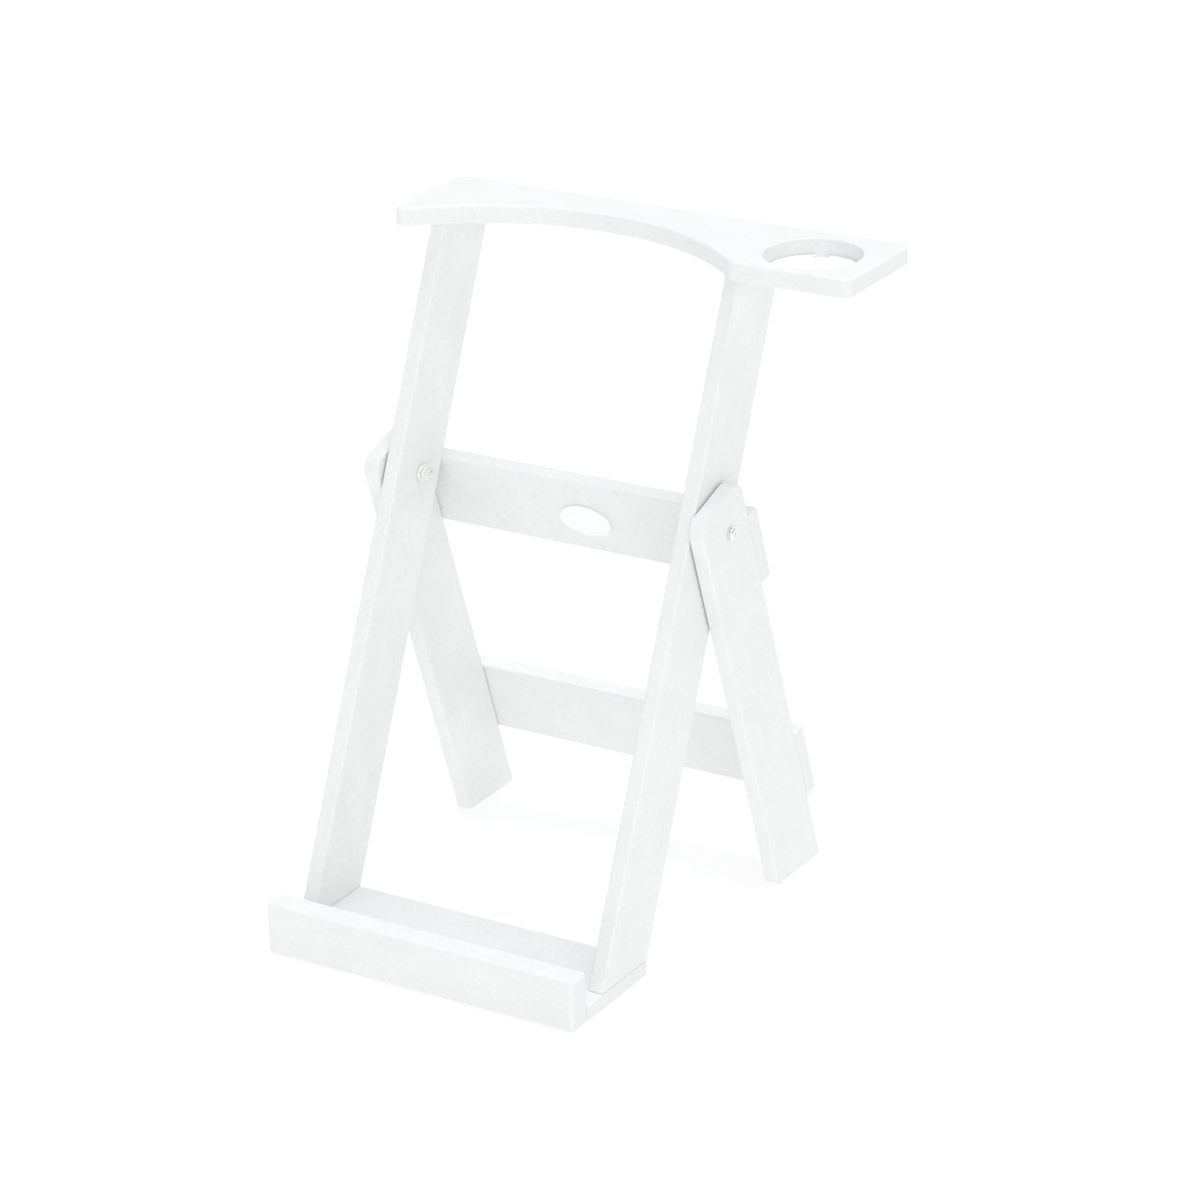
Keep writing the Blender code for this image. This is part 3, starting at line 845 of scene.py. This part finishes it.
class STAND_OT_cup_floor(bpy.types.Operator):
    """Shape the disc in the cup pocket, with its drain notch"""

    bl_idname = "stand.cup_floor"
    bl_label = "Cup Floor"

    def execute(self, context):
        boards = context.scene.stand_boards
        low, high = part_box("cup_floor")
        radius, height = (high.x - low.x) / 2, high.z - low.z
        place = Matrix.Translation(((low.x + high.x) / 2, (low.y + high.y) / 2, low.z))
        edge, rim, foot = DISC_EDGE, radius - DISC_RIM, height - DISC_DISH
        profile = [(0, foot), (rim - DISC_SLOPE, foot), (rim, height)]
        profile += arc((radius - edge, height - edge), edge, QUARTER, 0, ARRIS_STEPS)
        profile += [(radius, 0), (0, 0)]
        piece = add_piece("cup_disc", to_mesh(turned(profile, POCKET_SIDES, place), "cup_disc"))
        cut_with(piece, drain(boards))
        shade(piece)
        finishes = context.scene.stand_finishes
        material = moulded_hdpe(finishes, "moulded_hdpe_disc", 3 * MM)
        finish(piece, material, FRONT, "smooth_white_plastic", "cup_floor")
        return {"FINISHED"}


class STAND_OT_badge(bpy.types.Operator):
    """Shape the plain oval badge on the upper rail"""

    bl_idname = "stand.badge"
    bl_label = "Badge"

    def execute(self, context):
        boards, hardware = context.scene.stand_boards, context.scene.stand_hardware
        place = leg_place(boards)
        low, high = extent("badge", place)
        half_width, half_height = (high.x - low.x) / 2, (high.z - low.z) / 2
        thickness = high.y - low.y
        rim = hardware.badge_rim / half_height
        panel = thickness - hardware.badge_panel
        crown = arc((1 - rim / 2, 0), rim / 2, 2 * QUARTER, 0, 2 * ARRIS_STEPS)
        profile = [(0, panel + BADGE_SWELL), (BADGE_SHOULDER, panel + BADGE_SHOULDER_SWELL)]
        profile += [(1 - rim, panel)]
        profile += [
            (r, panel + hardware.badge_panel * z / (rim / 2)) for r, z in crown[1:-1]
        ]
        profile += [(1, panel), (1, 0), (0, 0)]
        oval = Matrix.Diagonal((half_width, half_height, 1, 1))
        middle = Vector((0, high.y, (low.z + high.z) / 2))
        seat = place @ Matrix.Translation(middle) @ Matrix.Rotation(QUARTER, 4, "X") @ oval
        piece = add_piece("blank_badge", to_mesh(turned(profile, POCKET_SIDES, seat), "badge"))
        shade(piece)
        finishes = context.scene.stand_finishes
        material = moulded_hdpe(finishes, "moulded_badge_plastic", 2 * MM)
        finish(piece, material, REAR, "smooth_white_plastic", "badge")
        return {"FINISHED"}


# ---------------------------------------------------------------- hinge hardware


def axis_place(side, x):
    """Frame on the hinge axis at an X, with its Z pointing out to a side."""
    return facing(Vector((x, HINGE.y, HINGE.z)), Vector((SIDES[side], 0, 0)))


def thread(hardware, place, length, shape):
    """A tapering helical ridge round the bolt's end, which is at the frame's Z = 0."""
    pitch, radius = hardware.thread_pitch, hardware.bolt_radius
    steps = int(length / pitch * THREAD_STEPS)
    rings = []
    for i in range(steps + 1):
        angle = 2 * math.pi * i / THREAD_STEPS
        height = 0.4 * pitch + (length - pitch) * i / steps
        share = min(1, 4 * i / THREAD_STEPS, 4 * (steps - i) / THREAD_STEPS)
        root = radius - 0.5 * pitch
        crest = root + 0.02 * MM + 0.5 * pitch * share
        corners = ((root, height - 0.4 * pitch), (crest, height), (root, height + 0.4 * pitch))
        rings.append(
            [
                shape.verts.new(place @ Vector((r * math.cos(angle), r * math.sin(angle), z)))
                for r, z in corners
            ]
        )
    for ring, following in zip(rings, rings[1:]):
        for i in range(3):
            j = (i + 1) % 3
            shape.faces.new((ring[i], ring[j], following[j], following[i]))
    shape.faces.new(rings[0])
    shape.faces.new(rings[-1])


def make_bolt(hardware, side):
    """A button-head bolt with a hexagon socket and a threaded end."""
    low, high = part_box("pivot_bolt_" + side)
    sign = SIDES[side]
    top, tip = (high.x, low.x) if sign > 0 else (low.x, high.x)
    length = abs(top - tip)
    washer_low, washer_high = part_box("head_washer_" + side)
    under = abs((washer_high.x if sign > 0 else washer_low.x) - top) - HOLE_ROOM
    head_radius = (high.y - low.y) / 2
    radius, pitch = hardware.bolt_radius, hardware.thread_pitch
    core, edge = radius - 0.5 * pitch, BOLT_EDGE
    flat = math.acos(BOLT_CROWN)
    rise = (under - edge) / math.sin(flat)
    angles = [flat * (1 - i / BOLT_DOME_STEPS) for i in range(BOLT_DOME_STEPS + 1)]
    profile = [(0, 0)]
    profile += [(head_radius * math.cos(a), edge - under + rise * math.sin(a)) for a in angles]
    profile += [(head_radius, -under), (radius, -under)]
    profile += [(radius, -length + hardware.thread_length)]
    profile += [(core, -length + hardware.thread_length - 0.5 * pitch)]
    profile += [(core, -length + BOLT_CHAMFER), (core - BOLT_CHAMFER, -length), (0, -length)]
    place = axis_place(side, top)
    piece = add_piece(side + "_bolt", to_mesh(turned(profile, HARDWARE_SIDES, place), "bolt"))
    hexagon = arc((0, 0), hardware.socket_radius, 0, 4 * QUARTER, 6)[:-1]
    cut_with(piece, prism("socket", hexagon, -hardware.socket_depth, CUTTER_PROUD, place))
    shape = bmesh.new()
    shape.from_mesh(piece.data)
    end = place @ Matrix.Translation((0, 0, -length))
    thread(hardware, end, hardware.thread_length, shape)
    piece.data = to_mesh(shape, piece.name)
    shade(piece)
    return piece


def make_nut(hardware, side):
    """A hexagon lock nut, chamfered, with a round collar towards the bolt's end."""
    low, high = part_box("lock_nut_" + side)
    seat, end = (high.x, low.x) if SIDES[side] > 0 else (low.x, high.x)
    height = abs(seat - end)
    corner = max(high.z - low.z, high.y - low.y) / 2
    flat = corner * math.cos(HEXAGON_ANGLE)
    bore = hardware.bolt_radius + NUT_BORE_ROOM
    shoulder = -height + hardware.collar_height
    place = axis_place(side, seat)
    hexagon = arc((0, 0), corner, QUARTER, 5 * QUARTER, 6)[:-1]
    piece = add_piece(side + "_nut", prism("nut", hexagon, -height, 0, place))
    ring, curve = flat - COLLAR_INSET, COLLAR_ROUND
    bevel = (corner - flat) * math.tan(HEXAGON_ANGLE) + NUT_CHAMFER
    # The turned shape that trims the hexagon: chamfers on both faces, then the collar.
    profile = [(bore, 0), (flat, 0), (corner, -bevel), (corner, shoulder + bevel)]
    # The collar's rounding has to end outside the insert's recess.
    profile += [(flat, shoulder), (ring, shoulder - COLLAR_SLOPE), (ring, -height + curve)]
    profile += arc((ring - curve, -height + curve), curve, 0, -QUARTER, ARRIS_STEPS)[1:]
    recess, inside = bore + RECESS_WIDTH, -height + RECESS_DEPTH
    profile += [(recess, -height), (recess, inside), (bore, inside)]
    cut_with(piece, to_mesh(turned(profile, HARDWARE_SIDES, place), "trim"), "INTERSECT")
    shade(piece)
    return piece


def nut_insert(hardware, side, shape):
    """The nylon ring held in a lock nut's collar."""
    low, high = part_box("lock_nut_" + side)
    end = low.x if SIDES[side] > 0 else high.x
    bore = hardware.bolt_radius + INSERT_ROOM
    outer = hardware.bolt_radius + INSERT_WIDTH
    profile = [(bore + INSERT_LEAD, INSERT_TOP), (outer, INSERT_TOP), (outer, INSERT_FOOT)]
    profile += [(bore, INSERT_FOOT), (bore, INSERT_TOP + INSERT_LEAD)]
    turned(profile, HARDWARE_SIDES, axis_place(side, end), shape)


def ring_profile(low, high, bore, edge):
    """Section of a flat ring with all four edges rounded, between two heights and radii."""
    radius = (high.z - low.z) / 2
    half = (high.x - low.x) / 2
    corners = [
        ((radius - edge, half - edge), QUARTER, 0),
        ((radius - edge, edge - half), 0, -QUARTER),
        ((bore + edge, edge - half), -QUARTER, -2 * QUARTER),
        ((bore + edge, half - edge), 2 * QUARTER, QUARTER),
    ]
    return [
        point
        for centre, start, end in corners
        for point in arc(centre, edge, start, end, ARRIS_STEPS)
    ]


def make_rings(hardware, name, nodes):
    """Flat rings on the hinge axis, one for each CAD node, as one piece."""
    shape = bmesh.new()
    for node in nodes:
        low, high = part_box(node)
        bore = hardware.bolt_radius + WASHER_ROOM
        profile = ring_profile(low, high, bore, hardware.washer_edge)
        place = axis_place("right", (low.x + high.x) / 2)
        turned(profile, HARDWARE_SIDES, place, shape)
    piece = add_piece(name, to_mesh(shape, name))
    shade(piece)
    return piece


class STAND_OT_hinge_hardware(bpy.types.Operator):
    """Shape the hinge's bolts, lock nuts, washers and spacers"""

    bl_idname = "stand.hinge_hardware"
    bl_label = "Hinge Hardware"

    def execute(self, context):
        hardware, finishes = context.scene.stand_hardware, context.scene.stand_finishes
        steel = shared_material(cold_formed_stainless, finishes)
        nylon = shared_material(machined_nylon, finishes)
        for side in SIDES:
            bolt, nut = make_bolt(hardware, side), make_nut(hardware, side)
            finish(bolt, steel, FRONT, "stainless_steel", "pivot_bolt_" + side)
            finish(nut, steel, FRONT, "stainless_steel", "lock_nut_" + side)
        washers = [f"{end}_washer_{side}" for end in ("head", "nut") for side in SIDES]
        rings = make_rings(hardware, "hinge_washers", washers)
        finish(rings, steel, FRONT, "stainless_steel", *washers)
        spacers = ["hinge_spacer_" + side for side in SIDES]
        rings = make_rings(hardware, "hinge_spacers", spacers)
        finish(rings, nylon, FRONT, "natural_nylon", *spacers)
        shape = bmesh.new()
        for side in SIDES:
            nut_insert(hardware, side, shape)
        inserts = add_piece("nut_inserts", to_mesh(shape, "nut_inserts"))
        shade(inserts)
        finish(inserts, nylon, FRONT, "natural_nylon")
        return {"FINISHED"}


# ---------------------------------------------------------------- screws


def screw_tree():
    """Geometry nodes that set a countersunk, square-drive screw on each point.

    Each point's facing attribute is the way its head faces. A seeded random turn about
    that axis sets each drive at its own angle.
    """
    tree = bpy.data.node_groups.new("countersunk_screws", "GeometryNodeTree")
    sockets = {
        "Geometry": ("Points",),
        "Float": (
            "Head Radius", "Head Height", "Shank Radius", "Length", "Drive Radius", "Drive Depth",
        ),
        "Int": ("Sides", "Seed"),
        "Material": ("Material",),
    }
    for kind, names in sockets.items():
        for name in names:
            tree.interface.new_socket(name, in_out="INPUT", socket_type="NodeSocket" + kind)
    tree.interface.new_socket("Screws", in_out="OUTPUT", socket_type="NodeSocketGeometry")
    given = tree.nodes.new("NodeGroupInput").outputs

    def made(kind, inputs, output=0, **settings):
        return add_node(tree, kind, inputs, **settings).outputs[output]

    def worked(operation, first, second):
        return made("ShaderNodeMath", {0: first, 1: second}, operation=operation)

    def lowered(mesh, drop):
        offset = made("ShaderNodeCombineXYZ", {"Z": worked("MULTIPLY", drop, -1.0)})
        return made("GeometryNodeTransform", {"Geometry": mesh, "Translation": offset})

    def turned_solid(kind, **sizes):
        inputs = {name.replace("_", " "): value for name, value in sizes.items()}
        return made(kind, inputs, "Mesh")

    cone, cylinder = "GeometryNodeMeshCone", "GeometryNodeMeshCylinder"
    sides, radius, depth = given["Sides"], given["Shank Radius"], given["Head Height"]
    head = turned_solid(
        cone, Vertices=sides, Radius_Top=given["Head Radius"], Radius_Bottom=radius, Depth=depth
    )
    twice = worked("MULTIPLY", given["Drive Depth"], 2.0)
    drive = turned_solid(cylinder, Vertices=4, Radius=given["Drive Radius"], Depth=twice)
    recessed = made(
        "GeometryNodeMeshBoolean",
        {"Mesh 1": lowered(head, depth), "Mesh 2": drive},
        "Mesh",
        operation="DIFFERENCE",
        solver="EXACT",
    )
    tip = worked("MULTIPLY", radius, 2.4)
    straight = worked("SUBTRACT", worked("SUBTRACT", given["Length"], depth), tip)
    shank = turned_solid(cylinder, Vertices=sides, Radius=radius, Depth=straight)
    middle = worked("ADD", depth, worked("MULTIPLY", straight, 0.5))
    point = turned_solid(cone, Vertices=sides, Radius_Top=radius, Radius_Bottom=0.0, Depth=tip)
    screw = add_node(tree, "GeometryNodeJoinGeometry").inputs["Geometry"]
    for part in (recessed, lowered(shank, middle), lowered(point, given["Length"])):
        tree.links.new(part, screw)

    direction = made(
        "GeometryNodeInputNamedAttribute", {"Name": "facing"}, data_type="FLOAT_VECTOR"
    )
    aligned = made("FunctionNodeAlignRotationToVector", {"Vector": direction}, axis="Z")
    turn = made(
        "FunctionNodeRandomValue",
        {2: 0.0, 3: QUARTER, "Seed": given["Seed"]},
        output=1,
        data_type="FLOAT",
    )
    spin = made("FunctionNodeAxisAngleToRotation", {"Axis": (0, 0, 1), "Angle": turn})
    rotation = made(
        "FunctionNodeRotateRotation",
        {"Rotation": aligned, "Rotate By": spin},
        rotation_space="LOCAL",
    )
    placed = made(
        "GeometryNodeInstanceOnPoints",
        {"Points": given["Points"], "Instance": screw.node.outputs[0], "Rotation": rotation},
    )
    real = made("GeometryNodeRealizeInstances", {"Geometry": placed})
    coated = made("GeometryNodeSetMaterial", {"Geometry": real, "Material": given["Material"]})
    add_node(tree, "NodeGroupOutput", {0: coated})
    return tree


class STAND_OT_screws(bpy.types.Operator):
    """Set the wood screws that hold the boards"""

    bl_idname = "stand.screws"
    bl_label = "Screws"

    def execute(self, context):
        boards, hardware = context.scene.stand_boards, context.scene.stand_hardware
        coating = shared_material(baked_white_coating, context.scene.stand_finishes)
        tree = screw_tree()
        ways = screw_facings(boards)
        groups = {
            "frame_screws": (FRONT, ("tray_screw", "base_screw")),
            "lip_screws": (FRONT, ("lip_screw",)),
            "rail_screws": (REAR, ("upper_rail_screw", "lower_rail_screw")),
        }
        for name, (body, starts) in groups.items():
            nodes = [node for node in ways if node.startswith(starts)]
            heads = [end_centre(node, ways[node]) for node in nodes]
            guide = bpy.data.meshes.new(name)
            guide.from_pydata(heads, [], [])
            facings = guide.attributes.new("facing", "FLOAT_VECTOR", "POINT")
            for i, node in enumerate(nodes):
                facings.data[i].vector = ways[node]
            low, high = extent(nodes[0], facing(heads[0], ways[nodes[0]]))
            piece = add_piece(name, guide)
            modifier = piece.modifiers.new("screws", "NODES")
            modifier.node_group = tree
            sizes = {
                "Head Radius": high.x,
                "Head Height": hardware.screw_head,
                "Shank Radius": hardware.screw_radius,
                "Length": high.z - low.z,
                "Drive Radius": hardware.drive_radius,
                "Drive Depth": hardware.drive_depth,
                "Sides": SCREW_SIDES,
                "Seed": hardware.drive_seed,
                "Material": coating,
            }
            for socket in tree.interface.items_tree:
                if socket.name in sizes:
                    modifier[socket.identifier] = sizes[socket.name]
            make_plain(piece)
            if not piece.data.polygons:
                raise RuntimeError(f"{name} came out empty")
            shade(piece)
            finish(piece, coating, body, "white_coated_steel", *nodes)
        return {"FINISHED"}


class STAND_OT_plugs(bpy.types.Operator):
    """Set the plugs that hide the tray's and the lip's screws"""

    bl_idname = "stand.plugs"
    bl_label = "Plugs"

    def execute(self, context):
        ways = screw_facings(context.scene.stand_boards)
        material = shared_material(extruded_hdpe_lumber, context.scene.stand_finishes)
        edge = PLUG_EDGE
        for name, start, number in (("lip_plugs", "lip_plug", 1), ("tray_plugs", "tray_plug", 4)):
            nodes = [node for node in sorted(frame["nodes"]) if node.startswith(start)]
            shape = bmesh.new()
            for node in nodes:
                way = ways[node.replace("plug", "screw")]
                # Sanded flush, where the model leaves the plug a little under the surface.
                place = facing(end_centre(node, way) + HOLE_ROOM * way, way)
                low, high = extent(node, place)
                profile = [(0, 0)]
                profile += arc((high.x - edge, -edge), edge, QUARTER, 0, ARRIS_STEPS)
                profile += [(high.x, low.z), (0, low.z)]
                turned(profile, HARDWARE_SIDES, place, shape)
            piece = add_piece(name, to_mesh(shape, name))
            shade(piece)
            lay_grain(piece, IDENTITY, number)
            finish(piece, material, FRONT, "white_plastic_lumber", *nodes)
        return {"FINISHED"}


# ---------------------------------------------------------------- stage


class STAND_OT_stage(bpy.types.Operator):
    """Set the floor, the lights and the camera"""

    bl_idname = "stand.stage"
    bl_label = "Stage"

    def execute(self, context):
        stage = context.scene.stand_stage
        far = Vector((FLOOR_REACH, FLOOR_REACH, 0))
        mesh = bpy.data.meshes.new("floor")
        # A little under the stand, so that the two never share a surface.
        corners = [(x, y, -FLOOR_DROP) for x, y in rectangle(-far, far)]
        mesh.from_pydata(corners, [], [(0, 1, 2, 3)])
        floor = add_piece("floor", mesh)
        floor.data.materials.append(backlit_opal_acrylic(stage))

        world = bpy.data.worlds.new("studio")
        world.use_nodes = True
        sky = world.node_tree.nodes["Background"].inputs
        sky["Color"].default_value = (1, 1, 1, 1)
        sky["Strength"].default_value = stage.sky
        context.scene.world = world

        for name, (colour, direction) in LIGHTS.items():
            lamp = bpy.data.lights.new(name, "SUN")
            lamp.energy, lamp.angle, lamp.color = getattr(stage, name), stage.spread, colour
            light = bpy.data.objects.new(name, lamp)
            context.scene.collection.objects.link(light)
            light.matrix_world = facing(direction, direction)

        lens = bpy.data.cameras.new("camera")
        lens.lens = stage.camera_lens
        lens.clip_start, lens.clip_end = 0.1, 50
        camera = bpy.data.objects.new("camera", lens)
        context.scene.collection.objects.link(camera)
        camera.matrix_world = (
            Matrix.Translation(stage.camera_place)
            @ Matrix.Rotation(stage.camera_turn, 4, "Z")
            @ Matrix.Rotation(QUARTER - stage.camera_dip, 4, "X")
            @ Matrix.Rotation(stage.camera_roll, 4, "Z")
        )
        context.scene.camera = camera
        context.scene.view_settings.view_transform = "Standard"
        return {"FINISHED"}


# ---------------------------------------------------------------- add-on


class STAND_PT_panel(bpy.types.Panel):
    """Lists the stand's pieces and settings"""

    bl_idname = "STAND_PT_panel"
    bl_label = "Bag Stand"
    bl_space_type = "VIEW_3D"
    bl_region_type = "UI"
    bl_category = "Bag Stand"

    def draw(self, context):
        for operator in OPERATORS:
            self.layout.operator(operator.bl_idname)
        for name in SETTINGS:
            box = self.layout.box()
            settings = getattr(context.scene, name)
            for prop in settings.bl_rna.properties:
                if prop.identifier in settings.__annotations__:
                    box.prop(settings, prop.identifier)


OPERATORS = (
    STAND_OT_front_boards,
    STAND_OT_tray,
    STAND_OT_rear_boards,
    STAND_OT_cup_floor,
    STAND_OT_badge,
    STAND_OT_hinge_hardware,
    STAND_OT_screws,
    STAND_OT_plugs,
    STAND_OT_stage,
)
SETTINGS = {
    "stand_boards": StandBoardSettings,
    "stand_hardware": StandHardwareSettings,
    "stand_finishes": StandFinishSettings,
    "stand_stage": StandStageSettings,
}


def register():
    for cls in (*SETTINGS.values(), *OPERATORS, STAND_PT_panel):
        bpy.utils.register_class(cls)
    for name, group in SETTINGS.items():
        setattr(bpy.types.Scene, name, PointerProperty(type=group))


def unregister():
    for name in SETTINGS:
        delattr(bpy.types.Scene, name)
    for cls in (STAND_PT_panel, *reversed(OPERATORS), *SETTINGS.values()):
        bpy.utils.unregister_class(cls)


def main():
    register()
    bpy.ops.stand.front_boards()
    bpy.ops.stand.tray()
    bpy.ops.stand.rear_boards()
    bpy.ops.stand.cup_floor()
    bpy.ops.stand.badge()
    bpy.ops.stand.hinge_hardware()
    bpy.ops.stand.screws()
    bpy.ops.stand.plugs()
    bpy.ops.stand.stage()


if __name__ == "__main__":
    main()
